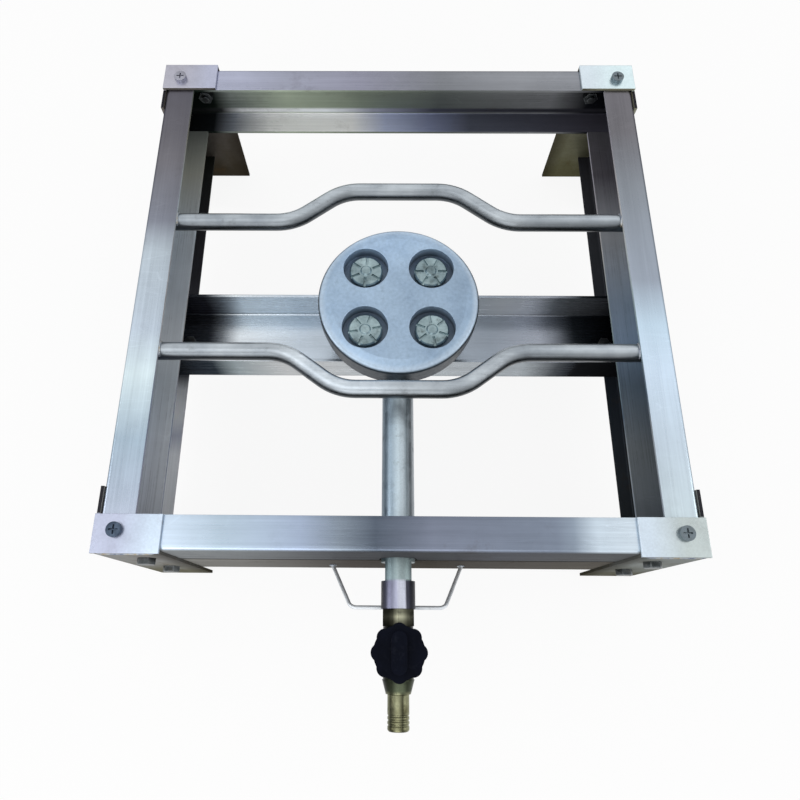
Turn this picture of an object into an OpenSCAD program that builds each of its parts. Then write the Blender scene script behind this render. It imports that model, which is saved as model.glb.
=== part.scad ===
// Single burner gas stove: a stand of folded steel channels on angle legs, a cross channel
// that carries a round four-cup burner, two cranked pan bars, and a gas tap with a hose
// nipple on the end of the mixing tube.
// Millimetres. Z is up from the floor, X runs across, Y runs from the gas tap to the back.

/* [Stand] */
// Width over the rails, left to right
frame_w = 355; // [330:1:400]
// Depth over the rails, front to back
frame_d = 366; // [345:1:410]
// Height of the rails' top face above the floor
frame_h = 124; // [118:1:150]

/* [Rails] */
// Height of a rail's web
rail_h = 45; // [42:0.5:48]
// Width of a rail's flanges
rail_flange = 21; // [19:0.5:24]
// Thickness of the rail sheet
rail_t = 2; // [1.5:0.1:2.5]
// Inside radius of the folds in the sheet parts
fold_r = 1.2; // [0.6:0.1:1.6]

/* [Lower skirts] */
// Height of the skirt plates under the rails
skirt_h = 54; // [46:1:60]
// Width of the lip along a skirt's lower edge
skirt_lip = 11; // [7:0.5:14]
// Thickness of the skirt sheet
skirt_t = 1.5; // [1:0.1:2]

/* [Legs] */
// Width of a leg angle's flanges
leg_flange = 40; // [34:1:46]
// Thickness of a leg angle
leg_t = 2; // [1.5:0.1:3]
// Depth, front to back, of the plate that caps a leg
cap_d = 23; // [19:0.5:23]
// Thickness of the plate that caps a leg
cap_t = 2; // [1.5:0.1:4]

/* [Cross channel] */
// Width of the cross channel, front to back
channel_w = 55; // [52:1:60]
// Height of the cross channel's flanges
channel_h = 30; // [26:1:36]
// Thickness of the cross channel
channel_t = 2; // [1.5:0.1:3]
// Distance of the channel's top below the rails
channel_drop = 7; // [5:0.5:9]
// Distance from a rail's outer face to the channel's end
channel_inset = 4.5; // [4:0.5:8]
// Distance of the channel and burner behind the stand's centre
burner_y = -13; // [-20:1:-6]
// Width of the cleats' flat legs under the channel
cleat_w = 25; // [22:0.5:28]
// Distance from a rail's outer face to the bolt through the channel's end
cleat_bolt_in = 15.5; // [14:0.5:17]
// Length of the cleats, front to back
cleat_l = 40; // [30:1:46]

/* [Pan bars] */
// Diameter of the round pan bars
bar_d = 12; // [10:0.5:13]
// Distance from the bars' centre line to their straight ends
bar_end_y = 50.5; // [44:0.5:56]
// Distance from the bars' tips to the webs of the side rails
bar_end_gap = 2.5; // [0.5:0.5:8]
// Half of the length of the cranked middle
bar_mid_x = 40; // [34:1:46]
// Length, along X, of the slope between end and middle; it rises 3 in every 4
bar_run = 35; // [32:1:40]
// Length that a bend takes from the bar on each side of its corner
bar_bend_cut = 12; // [8:0.5:14]
// Place of the bars' centre line behind the stand's centre
bars_y = -2; // [-5:0.5:2]

/* [Burner] */
// Diameter of the burner head
burner_d = 110; // [104:1:116]
// Distance of the burner's top below the rails' top face
burner_drop = 5; // [3:0.5:8]
// Thickness of the burner's top plate
burner_top_h = 13; // [11:0.5:15]
// Height of the upright rim of the burner bowl
bowl_rim_h = 8; // [6:0.5:10]
// Diameter of a cup in the burner's top
cup_d = 31; // [28:0.5:33]
// Depth of a cup
cup_depth = 9; // [6:0.5:10]
// Spacing of the cups, both ways
cup_pitch = 45; // [42:0.5:48]
// Diameter of a jet's slotted head
jet_d = 23; // [20:0.5:25]
// Height of a jet's head
jet_h = 5; // [4:0.5:6]
// Diameter of a jet's stem
jet_stem_d = 12; // [10:0.5:14]
// Gas bore of a jet
jet_bore = 6.4; // [4:0.2:8]
// Diameter of the neck under the bowl
neck_d = 40; // [36:1:44]
// Wall of the bowl
bowl_wall = 6; // [4:0.5:8]

/* [Mixing tube] */
// Outside diameter of the tube
tube_d = 21.3; // [20:0.1:23]
// Wall of the tube
tube_wall = 2.65; // [2:0.05:3]
// Distance from the stand's front face to the tube's open end
tube_reach = 30; // [26:0.5:40]
// Wall of the burner socket that takes the tube
socket_wall = 2.8; // [2:0.1:3.5]
// Length of tube held in the socket
socket_grip = 24; // [16:1:26]
// Length of the air windows in the tube
window_l = 11.5; // [8:0.5:14]
// Height of the air windows
window_h = 13.6; // [9:0.2:14]

/* [Gas tap] */
// Distance from the tube's end to the knob's axis
knob_from_tube = 24.5; // [23:0.5:30]
// Length of the hexagon against the tube's end
tap_hex_l = 10; // [8:0.5:11]
// Size of that hexagon across its flats
tap_hex_af = 19; // [18:0.5:20]
// Diameter of the tap's barrel
barrel_d = 18.5; // [16:0.5:19]
// Distance from the knob's axis to the nipple's shoulder
tap_tail = 23.5; // [20:0.5:28]
// Diameter of the upright boss that holds the plug
boss_d = 21; // [19:0.5:23]
// Height of the boss above the tube's axis
boss_up = 11; // [10:0.5:13]
// Depth of the boss below the tube's axis
boss_down = 13; // [12:0.5:15]
// Diameter of the plug
plug_d = 12; // [10:0.5:13]
// Diameter of the plug's stem
stem_d = 7; // [5:0.5:8]
// Gas way through the tap
gas_d = 5; // [3.5:0.5:6]
// Thickness of the gland nut
gland_h = 6; // [4:0.5:7]

/* [Knob] */
// Diameter over the knob's lobes
knob_d = 32.5; // [30:0.5:36]
// Height of the knob's lobed skirt
knob_h = 10; // [8:0.5:12]
// Height of the grip bar on the knob
grip_h = 4; // [2:0.5:6]
// Width of the grip bar
grip_w = 9; // [6:0.5:11]
// Number of lobes
knob_lobes = 8; // [6:1:10]
// How far the lobes stand out of the skirt
knob_lobe_rise = 1.4; // [0.8:0.1:2.4]

/* [Hose nipple] */
// Outside diameter of the nipple
nipple_d = 13; // [10:0.5:14]
// Length of the nipple outside the tap
nipple_l = 20; // [16:0.5:40]

/* [Wire bracket] */
// Diameter of the wire
wire_d = 2.5; // [2:0.1:4]
// Half of the bracket's width under the tube
wire_tip_x = 30; // [22:0.5:34]
// Size of the wire's two bends, a thirteenth of their radius
wire_bend = 0.4; // [0.25:0.05:0.5]
// Distance of the wire's root below the rails' top face
wire_root_drop = 75; // [68:1:86]

/* [Fasteners] */
// Diameter of the leg bolts
bolt_d = 6; // [5:0.5:8]
// Diameter of the cleat bolts
cleat_bolt_d = 5; // [4:0.5:6]
// Diameter of the corner screws
screw_d = 5; // [4:0.5:6]
// Diameter of the bolt under the burner
burner_bolt_d = 10; // [8:0.5:12]
// Distance from a leg's outer corner to its bolts
bolt_edge = 25; // [22:0.5:28]
// Distance, along X, from a leg's outer corner to the corner screw
screw_x = 13; // [11:0.5:16]

/* [Hidden] */
$fn = 64;
// Running clearance of the plug and stem, and play of parts that only seat
run_gap = 0.05;
seat_gap = 0.1;
hole_gap = 0.2;
step_gap = 0.5;

half_w = frame_w / 2;
half_d = frame_d / 2;
rail_z = frame_h - rail_h;
skirt_z = rail_z - skirt_h;

// Hexagons follow their thread: across flats, head height and nut height
function hex_af(d) = 1.67 * d;
function head_h(d) = 0.65 * d;
function nut_h(d) = 0.8 * d;

// The channel hangs below the rails, and the tube passes just over its flange
channel_top = rail_z - channel_drop;
channel_z = channel_top - channel_h;
channel_len = frame_w - 2 * channel_inset;
socket_d = tube_d + 2 * seat_gap + 2 * socket_wall;
tube_z = channel_top + socket_d / 2 + step_gap;
tube_id = tube_d - 2 * tube_wall;
tube_front = -half_d - tube_reach;
notch_d = tube_d + 2.4;

burner_top_z = frame_h - burner_drop;
bowl_top_z = burner_top_z - burner_top_h;
bowl_rim_z = bowl_top_z - bowl_rim_h;
foot_z = channel_z + channel_t;
foot_d = neck_d + 6;
chamber_d = 26;
chamber_z = foot_z + 26;
cup_floor_z = burner_top_z - cup_depth;
cup_floor_t = cup_floor_z - bowl_top_z;
socket_end_y = burner_y - neck_d / 2 - socket_grip - 2;
tube_back = socket_end_y + socket_grip;

bar_step = 0.75 * bar_run;
bar_z = frame_h - rail_t - bar_d / 2;
bar_tip_x = half_w - rail_t - bar_end_gap;

knob_y = tube_front - knob_from_tube;
tap_back = knob_y - tap_tail;
nipple_tip = tap_back - nipple_l;
taper_l = 8;
spigot_d = tube_id - 2 * seat_gap;
spigot_l = 10;
jet_tip_y = tube_front + spigot_l + 4;
window_y = -half_d - 2;
plug_floor_z = tube_z - boss_down + 2.5;
plug_base_z = plug_floor_z + 0.3;
plug_top_z = tube_z + boss_up - 5;
boss_top_z = tube_z + boss_up;
gland_top_z = boss_top_z + gland_h;
knob_z = gland_top_z + 1;
gland_af = boss_d - 3;
nipple_root_d = nipple_d - 3;
washer_t = 2;
nipple_root_l = 8;

// The row frame stands under the middle of the whole object
back_reach = half_d + leg_t + head_h(bolt_d);
shift_y = -(nipple_tip + back_reach) / 2;

leg_x = half_w + leg_t;
leg_y = half_d + leg_t;
bolt_x = leg_x - bolt_edge;
bolt_y = leg_y - bolt_edge;
upper_bolt_z = frame_h - rail_h / 2;
lower_bolt_z = skirt_z + skirt_h / 2;
cleat_drop = channel_z - skirt_z - skirt_t - fold_r - 0.3;
cleat_bolt_x = half_w - cleat_bolt_in;
cleat_bolt_z = channel_z - (cleat_drop + channel_t) / 2;

// Colours
steel = [0.72, 0.75, 0.79];
dull_steel = [0.50, 0.52, 0.54];
dark_steel = [0.28, 0.30, 0.32];
silver_paint = [0.66, 0.74, 0.82];
brass = [0.66, 0.60, 0.38];
black = [0.06, 0.07, 0.10];

// A quarter ring round the inside of a fold
module fold_arc(t) {
    r = min(fold_r, t);
    intersection() {
        difference() {
            circle(r = r + t);
            circle(r = r);
        }
        translate([-r - t, -r - t]) square(r + t);
    }
}

// Folded section with its web along Y and its flanges along X from both ends of the web
module folded_section(web, low, high, t) {
    r = min(fold_r, t) + t;
    translate([0, r]) square([t, web - r - (high > 0 ? r : 0)]);
    translate([r, 0]) square([low - r, t]);
    translate([r, r]) fold_arc(t);
    if (high > 0) {
        translate([r, web - t]) square([high - r, t]);
        translate([r, web - r]) mirror([0, 1]) fold_arc(t);
    }
}

// Rolled angle with a sharp inside corner and a rounded outside one
module angle_section(web, flange, t) {
    translate([0, t]) square([t, web - t]);
    translate([t, 0]) square([flange - t, t]);
    intersection() {
        translate([t, t]) circle(r = t);
        square(t);
    }
}

// Lay a section along X, with its flanges towards +Y
module along_x(len) {
    translate([-len / 2, 0, 0]) rotate([90, 0, 90]) linear_extrude(len) children();
}

// Lay a section along Y, with its flanges towards +X
module along_y(len) {
    translate([0, len / 2, 0]) rotate([90, 0, 0]) linear_extrude(len) children();
}

// Move a piece made for the front left corner to another corner
module to_corner(right, back) {
    mirror([right ? 1 : 0, 0, 0]) mirror([0, back ? 1 : 0, 0]) children();
}

module at_corners() {
    for (right = [false, true]) {
        for (back = [false, true]) {
            to_corner(right, back) children();
        }
    }
}

// Holes and fasteners point along +Z by default; these turn them outwards
module facing_left() { rotate([0, -90, 0]) children(); }
module facing_front() { rotate([90, 0, 0]) children(); }

module hexagon(af, h) {
    cylinder(d = af / cos(30), h = h, $fn = 6);
}

// A bolt whose head stands on z = 0, with its shank below
module bolt(d, len) {
    hexagon(hex_af(d), head_h(d));
    translate([0, 0, -len]) cylinder(d = d, h = len);
}

// A nut whose lower face lies on z = 0
module nut(d) {
    difference() {
        hexagon(hex_af(d), nut_h(d));
        translate([0, 0, -1]) cylinder(d = d + 2 * seat_gap, h = nut_h(d) + 2);
    }
}

// Shank hole through a sheet at z = 0
module bolt_hole(d) {
    translate([0, 0, -12]) cylinder(d = d + 2 * hole_gap, h = 24);
}

// Bolt places of a front left leg: side flange, front flange
module leg_side_place(z) {
    translate([-leg_x, -bolt_y, z]) facing_left() children();
}

module leg_end_place(z) {
    translate([-bolt_x, -leg_y, z]) facing_front() children();
}

module leg_holes() {
    leg_side_place(upper_bolt_z) bolt_hole(bolt_d);
    leg_end_place(upper_bolt_z) bolt_hole(bolt_d);
    leg_side_place(lower_bolt_z) bolt_hole(bolt_d);
}

module corner_screw_place() {
    translate([-leg_x + screw_x, -half_d + rail_flange / 2 + 1, frame_h]) children();
}

// Rail section with its foot at z = 0
module rail_section() {
    folded_section(rail_h, rail_flange, rail_flange, rail_t);
}

module cross_rail() {
    difference() {
        translate([0, -half_d, rail_z]) along_x(frame_w) rail_section();
        for (right = [false, true]) {
            to_corner(right, false) {
                leg_end_place(upper_bolt_z) bolt_hole(bolt_d);
                corner_screw_place() bolt_hole(screw_d);
            }
        }
    }
}

// A side rail's flanges stop at the cross rails; its web runs on inside them
module side_rail() {
    cope = rail_t + fold_r;
    difference() {
        union() {
            translate([-half_w, 0, rail_z]) along_y(frame_d - 2 * rail_flange) rail_section();
            translate([-half_w, -half_d + cope, rail_z + cope])
                cube([rail_t, frame_d - 2 * cope, rail_h - 2 * cope]);
        }
        for (back = [false, true]) {
            to_corner(false, back) leg_side_place(upper_bolt_z) bolt_hole(bolt_d);
        }
    }
}

// Round way out for the mixing tube
module tube_way() {
    translate([0, -half_d + rail_flange + 1, tube_z]) facing_front()
        cylinder(d = notch_d, h = rail_flange + 2);
}

module rail_front() {
    color(steel) translate([0, shift_y, 0]) difference() {
        cross_rail();
        tube_way();
        translate([-notch_d / 2, -half_d - 1, rail_z - 1])
            cube([notch_d, rail_flange + 2, tube_z - rail_z + 1]);
    }
}

module rail_back() {
    color(steel) translate([0, shift_y, 0]) mirror([0, 1, 0]) cross_rail();
}

module rail_left() {
    color(steel) translate([0, shift_y, 0]) side_rail();
}

module rail_right() {
    color(steel) translate([0, shift_y, 0]) mirror([1, 0, 0]) side_rail();
}

module skirt_section() {
    folded_section(skirt_h, skirt_lip, 0, skirt_t);
}

module skirt_front() {
    color(dull_steel) translate([0, shift_y, 0]) difference() {
        translate([0, -half_d, skirt_z]) along_x(frame_w) skirt_section();
        tube_way();
        for (right = [false, true]) {
            to_corner(right, false) {
                leg_end_place(lower_bolt_z) bolt_hole(bolt_d);
                // The lip stops short of the side skirt's lip
                translate([-half_w - 1, -half_d + skirt_t, skirt_z - 1])
                    cube([skirt_lip + 1, skirt_lip, skirt_t + fold_r + 2]);
            }
        }
    }
}

module side_skirt() {
    difference() {
        translate([-half_w, skirt_t / 2, skirt_z]) along_y(frame_d - skirt_t) skirt_section();
        translate([-half_w + skirt_t, -half_d, skirt_z - 1])
            cube([skirt_lip, skirt_lip, skirt_t + fold_r + 2]);
        for (back = [false, true]) {
            to_corner(false, back) leg_side_place(lower_bolt_z) bolt_hole(bolt_d);
        }
        cleat_side_place() bolt_hole(cleat_bolt_d);
    }
}

module skirt_left() {
    color(dull_steel) translate([0, shift_y, 0]) side_skirt();
}

module skirt_right() {
    color(dull_steel) translate([0, shift_y, 0]) mirror([1, 0, 0]) side_skirt();
}

// Angle leg with a cap plate welded on top; a front leg has a lower hole in its end flange
module leg(front) {
    difference() {
        union() {
            translate([-leg_x, -leg_y, 0]) linear_extrude(frame_h)
                angle_section(leg_flange, leg_flange, leg_t);
            translate([-leg_x, -leg_y, frame_h]) cube([leg_flange, cap_d, cap_t]);
        }
        leg_holes();
        if (front) leg_end_place(lower_bolt_z) bolt_hole(bolt_d);
        corner_screw_place() bolt_hole(screw_d);
    }
}

module placed_leg(right, back) {
    color(dull_steel) translate([0, shift_y, 0]) to_corner(right, back) leg(!back);
}

module leg_front_left() { placed_leg(false, false); }
module leg_front_right() { placed_leg(true, false); }
module leg_back_left() { placed_leg(false, true); }
module leg_back_right() { placed_leg(true, true); }

// Length of a leg bolt: leg, sheet, nut and a little over
module leg_bolt() {
    bolt(bolt_d, leg_t + rail_t + nut_h(bolt_d) + 2);
}

module leg_nut(sheet_t) {
    translate([0, 0, -leg_t - sheet_t - nut_h(bolt_d)]) nut(bolt_d);
}

module leg_bolts() {
    color(dark_steel) translate([0, shift_y, 0]) {
        at_corners() {
            leg_side_place(upper_bolt_z) leg_bolt();
            leg_end_place(upper_bolt_z) leg_bolt();
            leg_side_place(lower_bolt_z) leg_bolt();
        }
        for (right = [false, true]) {
            to_corner(right, false) leg_end_place(lower_bolt_z) leg_bolt();
        }
    }
}

module leg_nuts() {
    color(dark_steel) translate([0, shift_y, 0]) {
        at_corners() {
            leg_side_place(upper_bolt_z) leg_nut(rail_t);
            leg_end_place(upper_bolt_z) leg_nut(rail_t);
            leg_side_place(lower_bolt_z) leg_nut(skirt_t);
        }
        for (right = [false, true]) {
            to_corner(right, false) leg_end_place(lower_bolt_z) leg_nut(skirt_t);
        }
    }
}

// Pan-head screw through the cap plate and the rail's top flange
module corner_screw() {
    head = 0.56 * screw_d;
    slot_w = 0.2 * screw_d;
    shank = cap_t + rail_t + nut_h(screw_d) + 1.5;
    difference() {
        union() {
            translate([0, 0, cap_t]) cylinder(d = 1.8 * screw_d, h = head);
            translate([0, 0, cap_t - shank]) cylinder(d = screw_d, h = shank);
        }
        for (turn = [0, 90]) {
            rotate([0, 0, turn]) translate([-0.55 * screw_d, -slot_w / 2, cap_t + head / 2])
                cube([1.1 * screw_d, slot_w, head]);
        }
    }
}

module corner_screws() {
    color(dark_steel) translate([0, shift_y, 0]) at_corners() corner_screw_place() corner_screw();
}

module corner_nuts() {
    color(dark_steel) translate([0, shift_y, 0]) at_corners() corner_screw_place()
        translate([0, 0, -rail_t - nut_h(screw_d)]) nut(screw_d);
}

// Bolt places of the left cleat: through the skirt, and through the channel's web
module cleat_side_place() {
    translate([-half_w, burner_y, cleat_bolt_z]) facing_left() children();
}

module cleat_web_place() {
    translate([-cleat_bolt_x, burner_y, foot_z]) children();
}

module cross_channel() {
    color(steel) translate([0, shift_y, 0]) difference() {
        translate([channel_len / 2, burner_y - channel_w / 2, channel_z]) rotate([0, -90, 0])
            linear_extrude(channel_len) folded_section(channel_w, channel_h, channel_h, channel_t);
        for (right = [false, true]) {
            to_corner(right, false) cleat_web_place() bolt_hole(cleat_bolt_d);
        }
        translate([0, burner_y, foot_z]) bolt_hole(burner_bolt_d);
    }
}

// Angle with one leg under the channel and the other against the skirt
module cleat() {
    difference() {
        translate([-half_w + skirt_t, burner_y, channel_z]) mirror([0, 0, 1])
            along_y(cleat_l) folded_section(cleat_drop, cleat_w, 0, channel_t);
        cleat_side_place() bolt_hole(cleat_bolt_d);
        cleat_web_place() bolt_hole(cleat_bolt_d);
    }
}

module cleat_left() {
    color(dull_steel) translate([0, shift_y, 0]) cleat();
}

module cleat_right() {
    color(dull_steel) translate([0, shift_y, 0]) mirror([1, 0, 0]) cleat();
}

module cleat_bolts() {
    len = skirt_t + channel_t + nut_h(cleat_bolt_d) + 1.5;
    color(dark_steel) translate([0, shift_y, 0]) for (right = [false, true]) {
        to_corner(right, false) {
            cleat_side_place() bolt(cleat_bolt_d, len);
            cleat_web_place() bolt(cleat_bolt_d, len + channel_t - skirt_t);
        }
    }
}

module cleat_nuts() {
    color(dark_steel) translate([0, shift_y, 0]) for (right = [false, true]) {
        to_corner(right, false) {
            cleat_side_place() translate([0, 0, -skirt_t - channel_t - nut_h(cleat_bolt_d)])
                nut(cleat_bolt_d);
            cleat_web_place() translate([0, 0, -2 * channel_t - nut_h(cleat_bolt_d)])
                nut(cleat_bolt_d);
        }
    }
}

// One bend of a bar in plan: starts at the origin heading +X and turns left. The slope of
// 3 in 4 makes the bend radius three times the length that the bend takes from each side
module bar_bend() {
    r = 3 * bar_bend_cut;
    reach = 2 * r;
    translate([0, r, 0]) intersection() {
        rotate_extrude() translate([r, 0]) circle(d = bar_d);
        translate([0, 0, -bar_d]) linear_extrude(2 * bar_d)
            polygon([[0, 0], [0, -reach], [0.6 * reach, -0.8 * reach]]);
    }
}

// Right half of a cranked bar, from the middle to its straight end; the crank steps to +Y
module bar_half() {
    cut = bar_bend_cut;
    end_x = bar_mid_x + bar_run + cut;
    translate([0, bar_step, 0]) rotate([0, 90, 0]) cylinder(d = bar_d, h = bar_mid_x - cut);
    translate([bar_mid_x - cut, bar_step, 0]) mirror([0, 1, 0]) bar_bend();
    translate([bar_mid_x + 0.8 * cut, bar_step - 0.6 * cut, 0]) rotate([0, 90, -atan2(3, 4)])
        cylinder(d = bar_d, h = 1.25 * bar_run - 2 * cut);
    translate([end_x, 0, 0]) mirror([1, 0, 0]) bar_bend();
    translate([end_x, 0, 0]) rotate([0, 90, 0]) cylinder(d = bar_d, h = bar_tip_x - end_x);
}

module pan_bar() {
    bar_half();
    mirror([1, 0, 0]) bar_half();
}

module pan_bar_back() {
    color(steel) translate([0, shift_y + bars_y + bar_end_y, bar_z]) pan_bar();
}

module pan_bar_front() {
    color(steel) translate([0, shift_y + bars_y - bar_end_y, bar_z]) mirror([0, 1, 0]) pan_bar();
}

module at_burner() {
    translate([0, shift_y + burner_y, 0]) children();
}

// Cast bowl: foot and neck on the channel, a socket for the tube, and the lower half of the head
module burner_bowl() {
    rim_r = burner_d / 2 - 1;
    neck_r = neck_d / 2;
    neck_top = bowl_rim_z - 18;
    inner_r = rim_r - bowl_wall;
    chamber_r = chamber_d / 2;
    socket_l = -(socket_end_y - burner_y);
    color(silver_paint) at_burner() difference() {
        union() {
            rotate_extrude() polygon([
                [0, foot_z], [foot_d / 2, foot_z], [foot_d / 2, foot_z + 5], [neck_r, foot_z + 9],
                [neck_r, neck_top], [neck_r + 6, neck_top + 6], [rim_r, bowl_rim_z],
                [rim_r, bowl_top_z], [0, bowl_top_z]
            ]);
            translate([0, 0, tube_z]) facing_front() cylinder(d = socket_d, h = socket_l);
        }
        rotate_extrude() polygon([
            [0, chamber_z], [chamber_r, chamber_z], [chamber_r, neck_top + bowl_wall],
            [neck_r + 4, neck_top + 6 + bowl_wall], [inner_r, bowl_rim_z + bowl_wall - 3],
            [inner_r, bowl_top_z + 1], [0, bowl_top_z + 1]
        ]);
        // The tube's bore, run on under the bowl's rim
        translate([0, tube_back - burner_y, tube_z]) facing_front()
            cylinder(d = tube_d + 2 * seat_gap, h = burner_d / 2);
        translate([0, 0, tube_z]) facing_front() cylinder(d = tube_id, h = socket_l);
        translate([0, 0, foot_z - 1]) cylinder(d = burner_bolt_d + 2 * seat_gap, h = 20);
    }
}

module at_cups() {
    for (x = [-1, 1]) {
        for (y = [-1, 1]) {
            translate([x * cup_pitch / 2, y * cup_pitch / 2, 0]) children();
        }
    }
}

// Top plate of the head, with four cups and a ring below that drops into the bowl
module burner_top() {
    r = burner_d / 2;
    ring_r = r - 1 - bowl_wall - 2 * seat_gap;
    edge = 3;
    color(silver_paint) at_burner() difference() {
        union() {
            translate([0, 0, bowl_top_z]) rotate_extrude() {
                square([r, burner_top_h - edge - 2]);
                translate([r - edge, burner_top_h - edge - 2]) circle(r = edge);
                polygon([
                    [0, 1], [r - edge, 1], [r - edge, burner_top_h - 2],
                    [r - edge - 6, burner_top_h], [0, burner_top_h]
                ]);
            }
            translate([0, 0, bowl_top_z - 3]) difference() {
                cylinder(r = ring_r, h = 4);
                translate([0, 0, -1]) cylinder(r = ring_r - 3, h = 4);
            }
        }
        at_cups() {
            translate([0, 0, cup_floor_z]) cylinder(d = cup_d, h = cup_depth + 1);
            translate([0, 0, bowl_top_z - 1])
                cylinder(d = jet_stem_d + 2 * seat_gap, h = cup_floor_t + 2);
        }
    }
}

// Brass jet: a slotted head in the cup and a hollow stem through the cup's floor
module burner_jet(x, y, turn) {
    slots = 6;
    port_d = 1.8;
    stem_l = cup_floor_t + 3;
    head_r = jet_d / 2;
    color(brass) at_burner() translate([x * cup_pitch / 2, y * cup_pitch / 2, cup_floor_z]) {
        difference() {
            union() {
                cylinder(r = head_r, h = jet_h - 1);
                translate([0, 0, jet_h - 1]) cylinder(r1 = head_r, r2 = head_r - 1, h = 1);
                translate([0, 0, jet_h]) cylinder(r1 = 4, r2 = 3, h = 1.2);
                translate([0, 0, -stem_l]) cylinder(d = jet_stem_d, h = stem_l + 1);
            }
            translate([0, 0, -stem_l - 1]) cylinder(d = jet_bore, h = stem_l + jet_h - 1);
            for (i = [0 : slots - 1]) {
                rotate([0, 0, turn + i * 360 / slots]) {
                    translate([5, -0.9, jet_h - 1.6]) cube([head_r, 1.8, 3]);
                    translate([0, 0, 1.5]) rotate([0, 90, 30]) cylinder(d = port_d, h = head_r + 1);
                }
            }
        }
    }
}

module burner_jet_front_left() { burner_jet(-1, -1, 10); }
module burner_jet_front_right() { burner_jet(1, -1, 40); }
module burner_jet_back_left() { burner_jet(-1, 1, 25); }
module burner_jet_back_right() { burner_jet(1, 1, 0); }

module burner_bolt() {
    color(dark_steel) at_burner() translate([0, 0, channel_z - washer_t]) mirror([0, 0, 1])
        bolt(burner_bolt_d, washer_t + channel_t + 14);
}

module burner_washer() {
    color(dull_steel) at_burner() translate([0, 0, channel_z - washer_t]) difference() {
        cylinder(d = 2 * burner_bolt_d, h = washer_t);
        translate([0, 0, -1]) cylinder(d = burner_bolt_d + 2 * seat_gap, h = washer_t + 2);
    }
}

module mixing_tube() {
    color(steel) translate([0, shift_y, tube_z]) difference() {
        translate([0, tube_back, 0]) facing_front() cylinder(d = tube_d, h = tube_back - tube_front);
        translate([0, tube_back + 1, 0]) facing_front()
            cylinder(d = tube_id, h = tube_back - tube_front + 2);
        // Air windows on both sides
        translate([-tube_d, window_y - window_l, -window_h / 2])
            cube([2 * tube_d, window_l, window_h]);
    }
}

// Right half of the bent wire, laid flat. Its corner turns by the angle whose cosine is 0.352
// and sine 0.936, which makes a bend of 13 units radius take 9 units from each side
module wire_half(arm_l) {
    turn_cos = 0.352;
    turn_sin = 0.936;
    cut = 9 * wire_bend;
    r = 13 * wire_bend;
    reach = 3 * r;
    rotate([0, 90, 0]) cylinder(d = wire_d, h = wire_tip_x - cut);
    translate([wire_tip_x - cut, r, 0]) intersection() {
        rotate_extrude() translate([r, 0]) circle(d = wire_d);
        translate([0, 0, -wire_d]) linear_extrude(2 * wire_d)
            polygon([[0, 0], [0, -reach], [turn_sin * reach, -turn_cos * reach]]);
    }
    translate([wire_tip_x + turn_cos * cut, turn_sin * cut, 0]) rotate([0, 90, atan2(117, 44)])
        cylinder(d = wire_d, h = arm_l - cut);
}

// Bent wire that carries the tube's end, its two ends welded to the front of the skirt
module wire_bracket() {
    tip_z = tube_z - tube_d / 2 - wire_d / 2 - hole_gap;
    root_z = frame_h - wire_root_drop;
    run = tube_reach - wire_d / 2;
    arm_l = 1.1 * norm([tip_z - root_z, run]) + 2 * wire_d;
    color(steel) translate([0, shift_y, 0]) difference() {
        translate([0, -half_d - run, tip_z]) rotate([-atan2(tip_z - root_z, run), 0, 0]) {
            wire_half(arm_l);
            mirror([1, 0, 0]) wire_half(arm_l);
        }
        translate([-half_w, -half_d, 0]) cube([frame_w, 30, frame_h]);
    }
}

// Brass body of the tap: spigot in the tube, hexagon, barrel, upright boss and tail
module tap_body() {
    color(brass) translate([0, shift_y, 0]) difference() {
        union() {
            translate([0, tube_front + spigot_l, tube_z]) facing_front()
                cylinder(d = spigot_d, h = spigot_l + 1);
            translate([0, tube_front, tube_z]) facing_front() rotate([0, 0, 30])
                hexagon(tap_hex_af, tap_hex_l);
            translate([0, tube_front - 1, tube_z]) facing_front()
                cylinder(d = barrel_d, h = tube_front - 1 - tap_back - taper_l);
            translate([0, tap_back + taper_l, tube_z]) facing_front()
                cylinder(d1 = barrel_d + 1, d2 = nipple_d + 2, h = taper_l);
            translate([0, knob_y, tube_z - boss_down]) cylinder(d = boss_d, h = boss_up + boss_down);
        }
        translate([0, knob_y, plug_floor_z]) cylinder(d = plug_d, h = boss_up + boss_down);
        translate([0, tube_front + spigot_l + 1, tube_z]) facing_front()
            cylinder(d = gas_d, h = spigot_l + 1 + tube_front - tap_back + 1);
        translate([0, tube_front + spigot_l + 1, tube_z]) facing_front()
            cylinder(d = gas_d + 2, h = 8);
        translate([0, tap_back + nipple_root_l, tube_z]) facing_front()
            cylinder(d = nipple_root_d + 2 * seat_gap, h = nipple_root_l + 1);
    }
}

// Injector screwed into the spigot, with its tip short of the air windows
module gas_injector() {
    root = 6;
    shoulder_y = tube_front + spigot_l;
    tip_l = jet_tip_y - shoulder_y;
    color(brass) translate([0, shift_y, tube_z]) difference() {
        union() {
            translate([0, shoulder_y, 0]) facing_front()
                cylinder(d = gas_d + 2 - 2 * seat_gap, h = root);
            translate([0, shoulder_y + tip_l, 0]) facing_front()
                cylinder(d1 = gas_d - 1, d2 = tube_id - 4, h = tip_l);
        }
        translate([0, jet_tip_y + 1, 0]) facing_front() cylinder(d = 1.2, h = tip_l + root + 2);
    }
}

// Plug and stem in one piece, shut: its gas way lies across the tap
module tap_plug() {
    stem_top = knob_z + knob_h - 2;
    color(brass) translate([0, shift_y + knob_y, 0]) difference() {
        union() {
            translate([0, 0, plug_base_z])
                cylinder(d = plug_d - 2 * run_gap, h = plug_top_z - plug_base_z);
            translate([0, 0, plug_top_z - 1])
                cylinder(d = stem_d - 2 * run_gap, h = stem_top - plug_top_z + 1);
        }
        translate([-plug_d, 0, tube_z]) rotate([0, 90, 0]) cylinder(d = gas_d, h = 2 * plug_d);
    }
}

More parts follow.
